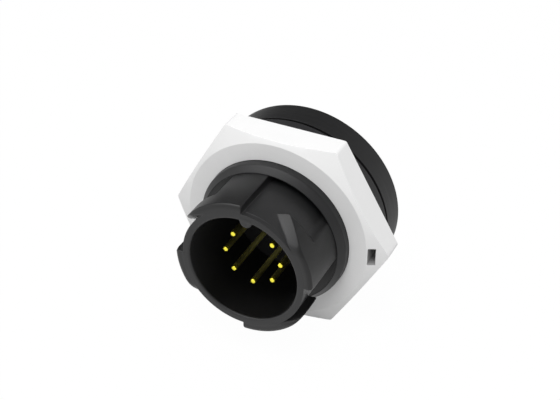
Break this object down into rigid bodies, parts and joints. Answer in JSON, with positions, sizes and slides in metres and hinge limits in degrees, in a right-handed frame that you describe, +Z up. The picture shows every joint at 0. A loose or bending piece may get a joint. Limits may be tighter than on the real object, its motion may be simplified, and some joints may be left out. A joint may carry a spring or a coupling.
{
  "type": "waterproof connector",
  "caption": "Round waterproof panel connector: black keyed bayonet shroud with gold contact pins, threaded barrel, white hex lock nut, gasket and flange.",
  "frame": {"origin": "on the connector's axis, in the panel plane between the lock nut's back and the gasket's front", "axes": "+Y runs along the axis from the mouth towards the flange, +Z is up through the empty contact place beside the key, +X runs to a corner of the nut"},
  "size_m": [0.0416, 0.0262, 0.036],
  "materials": {
    "shell_plastic": "satin moulded black",
    "nut_plastic": "smooth moulded white",
    "gasket_rubber": "matt black",
    "insert_plastic": "matt black",
    "seal_rubber": "matt red-brown",
    "contact_gold": "gold plated"
  },
  "bodies": {
    "connector": {"shell": "shell_plastic", "panel_gasket": "gasket_rubber", "front_insert": "insert_plastic", "rear_insert": "insert_plastic", "insert_seal": "seal_rubber", "retaining_ring": "shell_plastic", "contact_1": "contact_gold", "contact_2": "contact_gold", "contact_3": "contact_gold", "contact_4": "contact_gold", "contact_5": "contact_gold", "contact_6": "contact_gold", "contact_7": "contact_gold"},
    "nut": {"lock_nut": "nut_plastic"}
  },
  "joints": [
    {"name": "nut_travel", "type": "slide", "parent": "connector", "child": "nut", "axis": [0, -1, 0], "range_m": [0, 0.021]}
  ]
}
